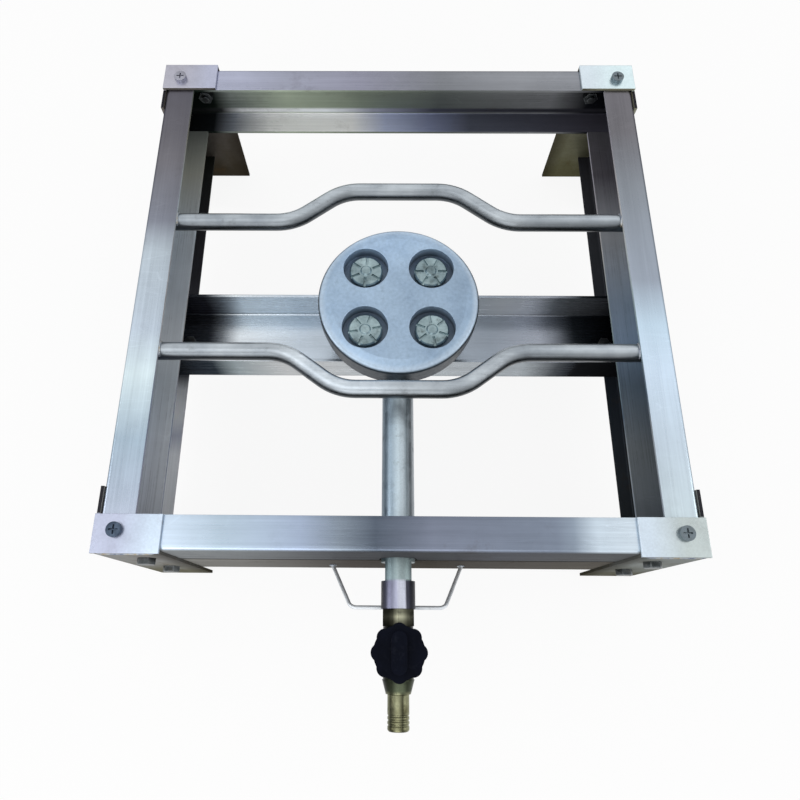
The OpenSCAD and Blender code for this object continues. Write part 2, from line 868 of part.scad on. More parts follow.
// Dished washer that presses the plug down
module spring_washer() {
    low = plug_top_z + 0.3;
    high = boss_top_z - 1.1;
    in_r = stem_d / 2 + 0.4;
    out_r = plug_d / 2 - 0.3;
    color(steel) translate([0, shift_y + knob_y, 0]) rotate_extrude() polygon([
        [out_r - 0.8, low], [out_r, low], [out_r, low + 0.8], [in_r + 0.8, high],
        [in_r, high], [in_r, high - 0.8]
    ]);
}

module gland_nut() {
    color(brass) translate([0, shift_y + knob_y, boss_top_z]) difference() {
        union() {
            hexagon(gland_af, gland_h);
            translate([0, 0, -1]) cylinder(d = plug_d - 2 * seat_gap, h = 2);
        }
        translate([0, 0, -2]) cylinder(d = stem_d, h = gland_h + 4);
    }
}

// Lobed knob with a raised grip bar, pushed on the stem
module knob() {
    lobe_r = PI * knob_d / knob_lobes / 2.6;
    core_r = knob_d / 2 - knob_lobe_rise;
    grip_l = knob_d * 0.72;
    color(black) translate([0, shift_y + knob_y, knob_z]) difference() {
        union() {
            linear_extrude(knob_h) {
                circle(r = core_r);
                for (i = [0 : knob_lobes - 1]) {
                    rotate(i * 360 / knob_lobes) translate([knob_d / 2 - lobe_r, 0])
                        circle(r = lobe_r);
                }
            }
            translate([0, 0, knob_h - 1]) linear_extrude(grip_h + 1) {
                square([grip_w, grip_l - grip_w], center = true);
                for (end = [-1, 1]) {
                    translate([0, end * (grip_l - grip_w) / 2]) circle(d = grip_w);
                }
            }
        }
        translate([0, 0, -1]) cylinder(d = stem_d, h = knob_h);
    }
}

// Nipple that the gas hose pushes on to, with grip grooves near its tip
module hose_nipple() {
    r = nipple_d / 2;
    color(brass) translate([0, shift_y, tube_z]) difference() {
        union() {
            translate([0, tap_back + nipple_root_l, 0]) facing_front()
                cylinder(d = nipple_root_d, h = nipple_root_l + 1);
            translate([0, tap_back, 0]) facing_front() cylinder(d = nipple_d, h = nipple_l - 1);
            translate([0, nipple_tip + 1, 0]) facing_front() cylinder(r1 = r, r2 = r - 0.8, h = 1);
        }
        translate([0, tap_back + nipple_root_l + 1, 0]) facing_front()
            cylinder(d = gas_d, h = nipple_root_l + nipple_l + 2);
        for (i = [0 : 2]) {
            translate([0, nipple_tip + 4 + 2.5 * i, 0]) facing_front() difference() {
                cylinder(r = r + 1, h = 1);
                translate([0, 0, -1]) cylinder(r = r - 0.4, h = 3);
            }
        }
    }
}

rail_front();
rail_back();
rail_left();
rail_right();
skirt_front();
skirt_left();
skirt_right();
leg_front_left();
leg_front_right();
leg_back_left();
leg_back_right();
leg_bolts();
leg_nuts();
corner_screws();
corner_nuts();
cross_channel();
cleat_left();
cleat_right();
cleat_bolts();
cleat_nuts();
pan_bar_front();
pan_bar_back();
burner_bowl();
burner_top();
burner_jet_front_left();
burner_jet_front_right();
burner_jet_back_left();
burner_jet_back_right();
burner_bolt();
burner_washer();
mixing_tube();
wire_bracket();
tap_body();
gas_injector();
tap_plug();
spring_washer();
gland_nut();
knob();
hose_nipple();
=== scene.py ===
import math
import random

import bmesh
import bpy
from mathutils import Matrix, Vector


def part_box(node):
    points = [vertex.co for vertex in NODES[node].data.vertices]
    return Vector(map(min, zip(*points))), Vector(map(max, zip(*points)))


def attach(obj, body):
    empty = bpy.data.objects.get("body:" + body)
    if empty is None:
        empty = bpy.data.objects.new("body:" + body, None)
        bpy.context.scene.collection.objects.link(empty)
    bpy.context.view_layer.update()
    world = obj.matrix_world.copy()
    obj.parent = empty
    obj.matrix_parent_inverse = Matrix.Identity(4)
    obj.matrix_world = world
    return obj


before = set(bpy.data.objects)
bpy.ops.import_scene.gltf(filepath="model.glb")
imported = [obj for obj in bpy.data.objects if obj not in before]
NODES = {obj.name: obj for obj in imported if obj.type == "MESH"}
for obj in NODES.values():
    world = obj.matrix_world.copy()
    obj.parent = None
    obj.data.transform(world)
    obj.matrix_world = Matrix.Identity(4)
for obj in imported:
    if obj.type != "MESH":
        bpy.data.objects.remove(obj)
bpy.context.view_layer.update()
MM = 0.001

# Stand: middle of its depth, heights of the rails' undersides and tops, inner edge of their flanges
rail_low, rail_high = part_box("rail_left")
MID_Y = (rail_low.y + rail_high.y) / 2
RAIL_Z = rail_low.z
TOP_Z = rail_high.z
FLANGE_X = -rail_high.x

# Rail seen from inside: height up to which the lower flange's colours go, and ends of the fold's band of
# painted highlight and shade
FLANGE_TOP = RAIL_Z + 5 * MM
FOLD_LOW = RAIL_Z + 3.5 * MM
FOLD_HIGH = RAIL_Z + 7.5 * MM

# Legs: size of a cap, its inner edge along Y from the middle, and the inner edge of the leg along X
leg_low, leg_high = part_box("leg_back_right")
CAP_DEPTH = 23 * MM
CAP_WIDTH = leg_high.x - leg_low.x
CAP_BACK = leg_high.y - CAP_DEPTH - MID_Y
LEG_END = leg_low.x

# Burner: middle, radius and height of its face
burner_low, burner_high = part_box("burner_top")
BURNER_Y = (burner_low.y + burner_high.y) / 2
BURNER_R = (burner_high.x - burner_low.x) / 2
FACE_Z = burner_high.z

# Outer face of the front rail, front ends of the tube and of the tap's body, and the half widths over
# which hexagon, nipple and tube are shaded
FRONT_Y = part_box("rail_front")[0].y
TUBE_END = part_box("mixing_tube")[0].y
TAP_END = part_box("tap_body")[0].y
HEX_HALF = 10 * MM
NIPPLE_HALF = 6.5 * MM
TUBE_HALF = 11 * MM


def rgb(r, g, b):
    """Linear RGBA of a colour that is written as it shows, 0 to 255."""
    def one(c):
        c /= 255
        return c / 12.92 if c <= 0.04045 else ((c + 0.055) / 1.055) ** 2.4
    return (one(r), one(g), one(b), 1.0)


# camera, light and floor

# Camera as it was fitted to the stand's corners: focal length in the photograph's pixels, angles in
# degrees, and its eye's place, from the middle of the rails' tops
PICTURE = 800
FOCAL = 644
SHIFT = 0.025
PITCH, YAW, ROLL = 70.07, -1.37, -0.98
EYE = (-8.7 * MM, MID_Y - 227.3 * MM, TOP_Z + 381.1 * MM)
SENSOR = 36

# Level of the white room as surfaces receive it, and as the camera and reflections see it
ROOM_LIGHT, ROOM_SEEN = 0.62, 1.0

# Floor: radius, grey level, and how far the camera and reflections see it as white
FLOOR_RADIUS = 4
FLOOR_GREY = 0.86
FLOOR_SEEN = 0.9


def make_camera():
    pitch, yaw, roll = math.radians(PITCH), math.radians(YAW), math.radians(ROLL)
    ahead = Vector((math.sin(yaw) * math.cos(pitch), math.cos(yaw) * math.cos(pitch), -math.sin(pitch)))
    right = Vector((math.cos(yaw), -math.sin(yaw), 0))
    up = right.cross(ahead)
    r = right * math.cos(roll) + up * math.sin(roll)
    u = up * math.cos(roll) - right * math.sin(roll)
    data = bpy.data.cameras.new("camera")
    data.sensor_width = SENSOR
    data.lens = SENSOR * FOCAL / PICTURE
    data.shift_x = SHIFT
    data.clip_start = 0.01
    data.clip_end = 20
    cam = bpy.data.objects.new("camera", data)
    turn = Matrix((r, u, -ahead)).transposed().to_4x4()
    cam.matrix_world = Matrix.Translation(EYE) @ turn
    bpy.context.scene.collection.objects.link(cam)
    bpy.context.scene.camera = cam


def area_light(name, place, aim, size, watts):
    data = bpy.data.lights.new(name, "AREA")
    data.shape = "DISK"
    data.size = size
    data.energy = watts
    lamp = bpy.data.objects.new(name, data)
    lamp.location = place
    lamp.rotation_euler = (Vector(aim) - Vector(place)).to_track_quat("-Z", "Y").to_euler()
    bpy.context.scene.collection.objects.link(lamp)


def larger(nt, a, b):
    """The larger of two values, in any node tree."""
    node = nt.nodes.new("ShaderNodeMath")
    node.operation = "MAXIMUM"
    nt.links.new(a, node.inputs[0])
    nt.links.new(b, node.inputs[1])
    return node.outputs[0]


def make_world():
    world = bpy.data.worlds.new("studio")
    bpy.context.scene.world = world
    world.use_nodes = True
    nt = world.node_tree
    back = nt.nodes["Background"]
    back.inputs["Color"].default_value = (1, 1, 1, 1)
    path = nt.nodes.new("ShaderNodeLightPath")
    seen = larger(nt, path.outputs["Is Camera Ray"], path.outputs["Is Glossy Ray"])
    seen = larger(nt, seen, path.outputs["Is Transmission Ray"])
    level = nt.nodes.new("ShaderNodeMapRange")
    level.inputs["To Min"].default_value = ROOM_LIGHT
    level.inputs["To Max"].default_value = ROOM_SEEN
    nt.links.new(seen, level.inputs["Value"])
    nt.links.new(level.outputs[0], back.inputs["Strength"])


def make_floor():
    """Pale floor that keeps the stand's shadow and is seen nearly white."""
    bm = bmesh.new()
    bmesh.ops.create_circle(bm, cap_ends=True, segments=96, radius=FLOOR_RADIUS)
    mesh = bpy.data.meshes.new("floor")
    bm.to_mesh(mesh)
    bm.free()
    floor = bpy.data.objects.new("floor", mesh)
    bpy.context.scene.collection.objects.link(floor)
    m = bpy.data.materials.new("floor")
    m.use_nodes = True
    nt = m.node_tree
    plain = nt.nodes["Principled BSDF"]
    plain.inputs["Base Color"].default_value = (FLOOR_GREY, FLOOR_GREY, FLOOR_GREY, 1)
    plain.inputs["Roughness"].default_value = 0.9
    plain.inputs["Specular IOR Level"].default_value = 0.1
    glow = nt.nodes.new("ShaderNodeEmission")
    glow.inputs["Color"].default_value = (1, 1, 1, 1)
    path = nt.nodes.new("ShaderNodeLightPath")
    share = nt.nodes.new("ShaderNodeMath")
    share.operation = "MULTIPLY"
    share.inputs[1].default_value = FLOOR_SEEN
    nt.links.new(larger(nt, path.outputs["Is Camera Ray"], path.outputs["Is Glossy Ray"]), share.inputs[0])
    mix = nt.nodes.new("ShaderNodeMixShader")
    nt.links.new(share.outputs[0], mix.inputs["Fac"])
    nt.links.new(plain.outputs[0], mix.inputs[1])
    nt.links.new(glow.outputs[0], mix.inputs[2])
    nt.links.new(mix.outputs[0], nt.nodes["Material Output"].inputs["Surface"])
    mesh.materials.append(m)


# materials

def greys(*pairs):
    """Stops of a ramp in grey, from pairs of place and level."""
    return [(at, (level, level, level, 1)) for at, level in pairs]


def colours(*pairs):
    """Stops of a ramp, from pairs of place and colour."""
    return [(at, rgb(*colour)) for at, colour in pairs]


def mean(light, dark, parts=1):
    """Colour between two others, with parts of the light one to one of the dark one."""
    return [(a * parts + b) / (parts + 1) for a, b in zip(light, dark)]


class Mat:
    """A node material with short calls for the nodes that are used here."""

    def __init__(self, name):
        self.m = bpy.data.materials.new(name)
        self.m.use_nodes = True
        self.nt = self.m.node_tree
        self.shader = self.nt.nodes["Principled BSDF"]
        self.place = self.add("TexCoord", out="Object")
        self.facing = self.add("TexCoord", out="Normal")

    @property
    def x(self):
        return self.axis(self.place, "X")

    @property
    def y(self):
        return self.axis(self.place, "Y")

    @property
    def z(self):
        return self.axis(self.place, "Z")

    @property
    def up(self):
        return self.axis(self.facing, "Z")

    def put(self, socket, value):
        if isinstance(value, bpy.types.NodeSocket):
            self.nt.links.new(value, socket)
        else:
            socket.default_value = value

    def add(self, kind, ins=None, out=0, **props):
        node = self.nt.nodes.new("ShaderNode" + kind)
        for key, value in props.items():
            setattr(node, key, value)
        for key, value in (ins or {}).items():
            self.put(node.inputs[key], value)
        return node.outputs[out]

    def axis(self, vector, which):
        return self.add("SeparateXYZ", {0: vector}, out=which)

    def math(self, op, a, b=0.0, clamp=False):
        return self.add("Math", {0: a, 1: b}, operation=op, use_clamp=clamp)

    def times(self, a, b, clamp=False):
        return self.math("MULTIPLY", a, b, clamp)

    def plus(self, a, b):
        return self.math("ADD", a, b)

    def absolute(self, value):
        return self.math("ABSOLUTE", value)

    def span(self, value, low, high, to_low=0.0, to_high=1.0):
        return self.add("MapRange", {"Value": value, "From Min": low, "From Max": high,
                                     "To Min": to_low, "To Max": to_high})

    def above(self, height):
        return self.span(self.z, height - 1 * MM, height + 1 * MM)

    def below(self, height):
        return self.span(self.z, height + 1 * MM, height - 1 * MM)

    def vary(self, noise, low, high):
        """From low to high over the range that a noise mostly stays in."""
        return self.span(noise, 0.3, 0.7, low, high)

    def stretched(self, scale, turn=(0, 0, 0)):
        return self.add("Mapping", {"Vector": self.place, "Scale": scale, "Rotation": turn})

    def noise(self, scale, detail=3.0, rough=0.55, vector=None):
        return self.add("TexNoise", {"Vector": vector or self.place, "Scale": scale,
                                     "Detail": detail, "Roughness": rough})

    def grain(self, scale, detail=4.0, rough=0.6, turn=(0, 0, 0)):
        """Noise with a scale of its own along each axis."""
        return self.noise(1.0, detail, rough, self.stretched(scale, turn))

    def spots(self, scale, low, high, detail=6.0, rough=0.7):
        """1 in the spots where a noise is over high, 0 where it is under low."""
        return self.span(self.noise(scale, detail, rough), low, high)

    def ramp(self, value, stops):
        node = self.nt.nodes.new("ShaderNodeValToRGB")
        self.put(node.inputs[0], value)
        marks = node.color_ramp.elements
        while len(marks) < len(stops):
            marks.new(0.5)
        for mark, (place, colour) in zip(marks, stops):
            mark.position = place
            mark.color = colour
        return node.outputs[0]

    def two_tone(self, value, dark, light, low=0.3, high=0.7):
        return self.ramp(value, colours((low, dark), (high, light)))

    def blend(self, fac, a, b, kind="MIX"):
        node = self.nt.nodes.new("ShaderNodeMix")
        node.data_type = "RGBA"
        node.blend_type = kind
        node.clamp_factor = True
        self.put(node.inputs[0], fac)
        self.put(node.inputs[6], a)
        self.put(node.inputs[7], b)
        return node.outputs[2]

    def along(self, which, stops):
        """Colour that runs through stops of (metres along an axis, colour)."""
        low, high = stops[0][0], stops[-1][0]
        value = self.span(self.axis(self.place, which), low, high)
        return self.ramp(value, [((at - low) / (high - low), rgb(*c)) for at, c in stops])

    def inward(self):
        """1 on standing faces that look to the middle of the stand, 0 on those that look away."""
        across = self.times(self.axis(self.facing, "X"), self.x)
        along = self.times(self.axis(self.facing, "Y"), self.math("SUBTRACT", self.y, MID_Y))
        return self.span(self.plus(across, along), 0.005, -0.005)

    def scaled(self, colour, fac):
        """Colour times a grey value."""
        grey = self.add("CombineXYZ", {0: fac, 1: fac, 2: fac})
        colour = colour[:3] if isinstance(colour, tuple) else colour
        return self.add("VectorMath", {0: colour, 1: grey}, operation="MULTIPLY")

    def finish(self, colour, rough, height, bump, relief, round_edge=0.0, **fixed):
        """Gives the shader its colour, roughness and bumps, and fixed values for other sockets."""
        s = self.shader.inputs
        self.put(s["Base Color"], colour)
        self.put(s["Roughness"], rough)
        for key, value in fixed.items():
            s[key.replace("_", " ")].default_value = value
        ins = {"Height": height, "Strength": bump, "Distance": relief}
        if round_edge:
            ins["Normal"] = self.add("Bevel", {"Radius": round_edge})
        self.put(s["Normal"], self.add("Bump", ins))
        return self.m


def brushed(name, which, tops, sides, lower=None, fold=None, outer=None, shine=1.0, face_shine=0.2,
            outer_shine=0.85, rough=0.3, stain=0.35):
    """Rolled stainless sheet: grain along one axis, cloudy tarnish, scratches and stains.

    tops and sides are colours along that axis for faces that lie flat and that stand, lower those of
    the flange at the bottom, fold those of a band of painted highlight and shade on the web's last
    millimetres above it, and outer those of standing faces that look away from the stand's middle.
    The stops of tops, sides and lower paint in reflections, highlights and shade, and faces that look
    down get painted shade. The three shines say how metallic lying, standing and outer faces are."""
    m = Mat(name)
    flat = m.span(m.absolute(m.up), 0.35, 0.8)
    lying, standing = m.along(which, tops), m.along(which, sides)
    if lower:
        lying = m.blend(m.below(FLANGE_TOP), lying, m.along(which, lower))
    # A band of painted highlight and shade along the fold above the lower flange
    if fold:
        band = m.times(m.below(FOLD_HIGH), m.above(FOLD_LOW))
        standing = m.blend(band, standing, m.along(which, fold))
    mirror = m.times(flat, m.above(FLANGE_TOP)) if lower else flat
    mirror = m.span(mirror, 0, 1, face_shine, shine)
    if outer:
        inward = m.inward()
        standing = m.blend(inward, m.along(which, outer), standing)
        away = m.times(m.math("SUBTRACT", 1.0, inward), m.math("SUBTRACT", 1.0, flat))
        mirror = m.math("MAXIMUM", mirror, m.times(away, outer_shine))
    colour = m.blend(flat, standing, lying)
    # Painted shade: faces that look down are darker
    down = m.span(m.up, -0.4, -0.8)
    colour = m.scaled(colour, m.span(down, 0, 1, 1.0, 0.75))
    grain = m.grain((9.0, 900.0, 900.0) if which == "X" else (900.0, 9.0, 900.0), 4.0, 0.65)
    colour = m.scaled(colour, m.vary(grain, 0.93, 1.06))
    streak = m.grain((3.0, 70.0, 70.0) if which == "X" else (70.0, 3.0, 70.0), 5.0)
    colour = m.scaled(colour, m.vary(streak, 0.86, 1.1))
    cloud = m.noise(17.0, 5.0, 0.6)
    colour = m.scaled(colour, m.vary(cloud, 0.9, 1.07))
    dirt = m.times(m.spots(46.0, 0.56, 0.75), m.spots(9.0, 0.45, 0.65, 2.0, 0.55))
    dirt = m.times(dirt, stain, clamp=True)
    colour = m.blend(dirt, colour, rgb(74, 66, 58))
    scratch = m.add("TexVoronoi", {"Vector": m.stretched((26.0, 210.0, 120.0), (0, 0, 0.5)), "Scale": 1.0},
                    out="Distance", feature="DISTANCE_TO_EDGE")
    scratch = m.times(m.span(scratch, 0.0, 0.035, 1.0, 0.0), m.spots(30.0, 0.5, 0.7, 2.0, 0.55))
    colour = m.scaled(colour, m.span(scratch, 0, 1, 1.0, 1.12))
    gloss = m.plus(m.vary(grain, rough - 0.05, rough + 0.06), m.times(dirt, 0.35))
    gloss = m.plus(gloss, m.vary(cloud, -0.05, 0.07))
    m.put(m.shader.inputs["Metallic"], mirror)
    return m.finish(colour, gloss, m.plus(grain, m.times(scratch, -0.8)), 0.22, 0.1 * MM, 0.5 * MM,
                    Anisotropic=0.35, Specular_IOR_Level=0.0, Specular_Tint=(0.15, 0.15, 0.16, 1.0))


def dull_steel(name, light, dark, rough=0.46, edge=0.6 * MM, grow=1.0):
    """Mill-finish or oxidised steel: patchy, with brown heat stain and worn lighter edges.

    grow makes patches and stains finer for small parts."""
    m = Mat(name)
    patch = m.noise(22.0 * grow, 6.0, 0.62)
    colour = m.ramp(patch, colours((0.3, dark), (0.52, mean(light, dark)), (0.72, light)))
    rust = m.spots(34.0 * grow, 0.5, 0.72, 7.0, 0.68)
    low = m.span(m.z, 0.0, 0.09, 1.0, 0.35)
    rust = m.times(m.times(rust, low), 0.6, clamp=True)
    colour = m.blend(rust, colour, rgb(88, 70, 48))
    fine = m.noise(900.0, 3.0, 0.7)
    colour = m.scaled(colour, m.vary(fine, 0.9, 1.08))
    soft = m.add("Bevel", {"Radius": 1.4 * MM})
    sharp = m.add("NewGeometry", out="Normal")
    worn = m.add("VectorMath", {0: soft, 1: sharp}, out="Value", operation="DOT_PRODUCT")
    worn = m.times(m.span(worn, 0.995, 0.9), m.spots(120.0, 0.4, 0.6, 3.0, 0.55))
    colour = m.blend(m.times(worn, 0.55), colour, rgb(*[min(c * 1.45, 235) for c in light]))
    gloss = m.plus(m.vary(patch, rough - 0.08, rough + 0.08), m.times(rust, 0.3))
    return m.finish(colour, gloss, m.plus(fine, patch), 0.3, 0.12 * MM, edge, Metallic=1.0)


def cast_silver(name, light, dark, centre=None, wall=0.6):
    """Casting under silver heat paint: fine orange-peel grain and pits, sooty black patches.

    centre is the middle of a head with cups: painted shade on the wall round it and deep inside its
    cups, a painted highlight round its edge, and painted light, brighter on the left and at the back.
    wall is the level of painted shade on standing faces."""
    m = Mat(name)
    patch = m.noise(30.0, 5.0, 0.6)
    colour = m.ramp(patch, colours((0.3, dark), (0.5, mean(light, dark, 2)), (0.7, light)))
    # Painted shade: standing faces darkened to the level wall
    colour = m.scaled(colour, m.span(m.absolute(m.up), 0.2, 0.75, wall, 1.0))
    if centre is not None:
        off = m.add("VectorMath", {0: m.place, 1: centre}, operation="SUBTRACT")
        flat = m.add("VectorMath", {0: off, 1: (1, 1, 0)}, operation="MULTIPLY")
        out = m.add("VectorMath", {0: flat}, out="Value", operation="LENGTH")
        # Painted light: lighter on the left and at the back
        slope = m.span(m.x, -50 * MM, 45 * MM, 1.08, 0.88)
        cloud = m.span(m.noise(26.0, 3.0), 0.35, 0.65, -0.06, 0.06)
        colour = m.scaled(colour, m.plus(slope, cloud))
        colour = m.scaled(colour, m.span(m.y, BURNER_Y + 18 * MM, BURNER_Y + 50 * MM, 1.0, 1.45))
        # Painted highlight round the head's edge
        rim = m.times(m.span(out, BURNER_R - 5.5 * MM, BURNER_R - 2.5 * MM), 0.35)
        colour = m.blend(rim, colour, rgb(206, 220, 232))
        # Painted shade: a dark wall round the head, and darker deep inside the cups
        skirt = m.times(m.below(FACE_Z - 2.5 * MM), m.span(out, BURNER_R - 2 * MM, BURNER_R - 0.5 * MM))
        colour = m.scaled(colour, m.span(skirt, 0, 1, 1.0, 0.12))
        darkening = m.times(m.span(m.z, FACE_Z - 2.5 * MM, FACE_Z - 8 * MM),
                       m.span(out, BURNER_R - 5 * MM, BURNER_R - 9 * MM))
        colour = m.blend(m.times(darkening, 0.72), colour, rgb(46, 48, 52))
    peel = m.noise(420.0, 4.0, 0.6)
    pits = m.add("TexVoronoi", {"Vector": m.place, "Scale": 340.0}, out="Distance")
    pits = m.span(pits, 0.05, 0.3, 0.0, 1.0)
    colour = m.scaled(colour, m.vary(peel, 0.88, 1.08))
    black = m.spots(60.0, 0.6, 0.78)
    colour = m.blend(m.times(black, 0.4), colour, rgb(70, 72, 74))
    gloss = m.plus(m.vary(peel, 0.34, 0.48), m.times(black, 0.2))
    return m.finish(colour, gloss, m.plus(peel, m.times(pits, 0.6)), 0.35, 0.22 * MM, 0.8 * MM, Metallic=0.75)


def tap_shades(m, colour):
    """Colour of the tap and the nipple, with painted highlights and shade along and across them."""
    # Nipple: painted shade on two dark flanks beside a painted highlight along it
    streak = m.ramp(m.span(m.x, -NIPPLE_HALF, NIPPLE_HALF),
                    greys((0.05, 0.6), (0.13, 0.17), (0.22, 0.23), (0.4, 0.9), (0.52, 1), (0.6, 0.6),
                          (0.68, 0.18), (0.76, 0.4), (0.92, 1)))
    front = m.span(m.y, TAP_END + 2 * MM, TAP_END - 0.5 * MM)
    # Hexagon: a painted highlight on one facet between facets in painted shade, and painted shadow from tube
    # and knob
    facet = m.ramp(m.span(m.x, -HEX_HALF, HEX_HALF),
                   greys((0.0, 0.05), (0.2, 0.06), (0.33, 0.15), (0.46, 1), (0.62, 0.85), (0.78, 0.25),
                         (1.0, 0.12)))
    shade = m.ramp(m.span(m.y, TUBE_END, TUBE_END - 12 * MM),
                   greys((0.0, 0.42), (0.18, 0.45), (0.4, 1), (0.6, 0.42), (0.85, 0.14), (1.0, 0.06)))
    hexagon = m.blend(0.6, colour, rgb(112, 112, 104))
    hexagon = m.blend(1.0, m.blend(1.0, hexagon, facet, "MULTIPLY"), shade, "MULTIPLY")
    # Taper: green, with painted highlight and shade across it, and painted shadow under the knob
    green = m.ramp(m.span(m.x, -HEX_HALF, HEX_HALF),
                   greys((0.05, 0.12), (0.3, 0.2), (0.5, 0.65), (0.62, 0.8), (0.75, 0.3), (0.9, 0.45)))
    green = m.blend(1.0, m.blend(0.6, colour, rgb(64, 86, 72)), green, "MULTIPLY")
    green = m.scaled(green, m.span(m.y, TAP_END + 12 * MM, TAP_END + 2 * MM, 0.3, 1.0))
    body = m.blend(m.span(m.y, TUBE_END - 14 * MM, TUBE_END - 12 * MM), green, hexagon)
    return m.blend(front, body, m.blend(1.0, colour, streak, "MULTIPLY"))


def brass(name, light, dark, darkening, rough=0.3, tap=False):
    """Turned brass: fine rings, brown tarnish, dark in patches. tap shades hexagon, taper and nipple."""
    m = Mat(name)
    patch = m.noise(60.0, 5.0, 0.65)
    colour = m.two_tone(patch, dark, light, 0.32, 0.68)
    turned = m.grain((40.0, 2600.0, 40.0), 3.0)
    colour = m.scaled(colour, m.vary(turned, 0.9, 1.08))
    black = m.spots(150.0, 0.52, 0.7)
    colour = m.blend(m.times(black, darkening), colour, rgb(44, 40, 26))
    if tap:
        colour = tap_shades(m, colour)
    gloss = m.plus(m.vary(patch, rough - 0.06, rough + 0.1), m.times(black, 0.25))
    return m.finish(colour, gloss, turned, 0.25, 0.08 * MM, 0.4 * MM, Metallic=1.0)


def round_steel(name, light, dark, rough=0.3, lit=(0, 0.6, 0.8), deep=0.22, metal=1.0, bend_highlight=1.0):
    """Drawn bar or wire along X: grain and streaks along it, smut in spots, painted shade away from lit.

    deep is the level of the painted shade, and the last argument that of a painted highlight round the
    bar's bend on the left."""
    m = Mat(name)
    grain = m.grain((12.0, 700.0, 700.0))
    patch = m.noise(38.0, 5.0, 0.6)
    colour = m.two_tone(patch, dark, light)
    colour = m.scaled(colour, m.vary(grain, 0.9, 1.08))
    # Painted shade: darker on the side that looks away from lit
    toward = m.add("VectorMath", {0: m.facing, 1: lit}, out="Value", operation="DOT_PRODUCT")
    side = m.ramp(m.span(toward, -0.6, 0.9),
                  greys((0, 0), (0.2, 0.02), (0.44, 0.15), (0.65, 0.48), (0.8, 0.86), (0.9, 1)))
    colour = m.scaled(colour, m.span(side, 0, 1, deep, 1.0))
    # Painted highlight on the stretch round the bar's bend on the left
    off = m.absolute(m.plus(m.x, 40 * MM))
    colour = m.scaled(colour, m.span(off, 42 * MM, 22 * MM, 1.0, bend_highlight))
    smut = m.spots(85.0, 0.57, 0.74)
    colour = m.blend(m.times(smut, 0.4), colour, rgb(70, 68, 66))
    gloss = m.plus(m.vary(grain, rough - 0.05, rough + 0.08), m.times(smut, 0.25))
    return m.finish(colour, gloss, grain, 0.2, 0.1 * MM, Metallic=metal)


def tube_steel(name):
    """Galvanised pipe: a painted highlight along its top between flanks in painted shade, dull and green
    where it leaves the stand, and behind the air windows an end with a painted highlight between dark
    flanks in painted shade."""
    m = Mat(name)
    streaks = m.grain((220.0, 14.0, 220.0))
    wander = m.plus(m.x, m.vary(streaks, -0.8 * MM, 0.8 * MM))
    wide = m.span(wander, -TUBE_HALF, TUBE_HALF)
    # Across the pipe: painted highlight along the top, painted shade on the flanks
    body = m.ramp(wide, colours((0.05, (112, 128, 142)), (0.3, (152, 170, 184)), (0.49, (192, 208, 217)),
                                (0.62, (170, 182, 190)), (0.76, (98, 108, 114)), (0.92, (160, 168, 174))))
    # The end behind the air windows: painted highlight between dark flanks in painted shade
    end = m.ramp(wide, colours((0.03, (28, 28, 40)), (0.15, (64, 66, 82)), (0.3, (106, 108, 128)),
                               (0.44, (164, 167, 188)), (0.56, (204, 208, 222)), (0.63, (196, 200, 214)),
                               (0.71, (44, 45, 55)), (0.85, (30, 31, 41))))
    dull = m.ramp(wide, colours((0.1, (66, 84, 84)), (0.5, (138, 156, 154)), (0.85, (118, 134, 134))))
    outside = m.span(m.y, FRONT_Y + 7 * MM, FRONT_Y - 1 * MM)
    body = m.blend(outside, body, m.blend(0.7, body, dull))
    colour = m.blend(m.span(m.y, TUBE_END + 17.5 * MM, TUBE_END + 16 * MM), body, end)
    fine = m.noise(900.0, 3.0, 0.7)
    spangle = m.axis(m.add("TexVoronoi", {"Vector": m.place, "Scale": 160.0}, out="Color"), "X")
    colour = m.scaled(colour, m.vary(fine, 0.9, 1.08))
    colour = m.scaled(colour, m.span(spangle, 0, 1, 0.93, 1.05))
    smut = m.spots(70.0, 0.58, 0.74)
    colour = m.blend(m.times(smut, 0.45), colour, rgb(66, 68, 66))
    gloss = m.plus(m.span(spangle, 0, 1, 0.3, 0.42), m.times(smut, 0.25))
    return m.finish(colour, gloss, m.plus(fine, streaks), 0.2, 0.1 * MM, Metallic=0.8)


def moulded_black(name):
    """Glossy black moulded plastic with fine scuffs and grey dust."""
    m = Mat(name)
    colour = m.two_tone(m.noise(70.0, 4.0, 0.6), (2, 4, 13), (8, 12, 25))
    dust = m.spots(260.0, 0.55, 0.75, 6.0, 0.75)
    up = m.span(m.up, 0.2, 0.9)
    colour = m.blend(m.times(m.times(dust, up), 0.12), colour, rgb(70, 74, 86))
    scuff = m.grain((900.0, 60.0, 60.0), 3.0, 0.6, (0, 0, 0.7))
    gloss = m.plus(m.span(scuff, 0.35, 0.7, 0.42, 0.56), m.times(dust, 0.2))
    return m.finish(colour, gloss, scuff, 0.12, 0.08 * MM, 0.6 * MM, Metallic=0.0, Specular_IOR_Level=0.05)


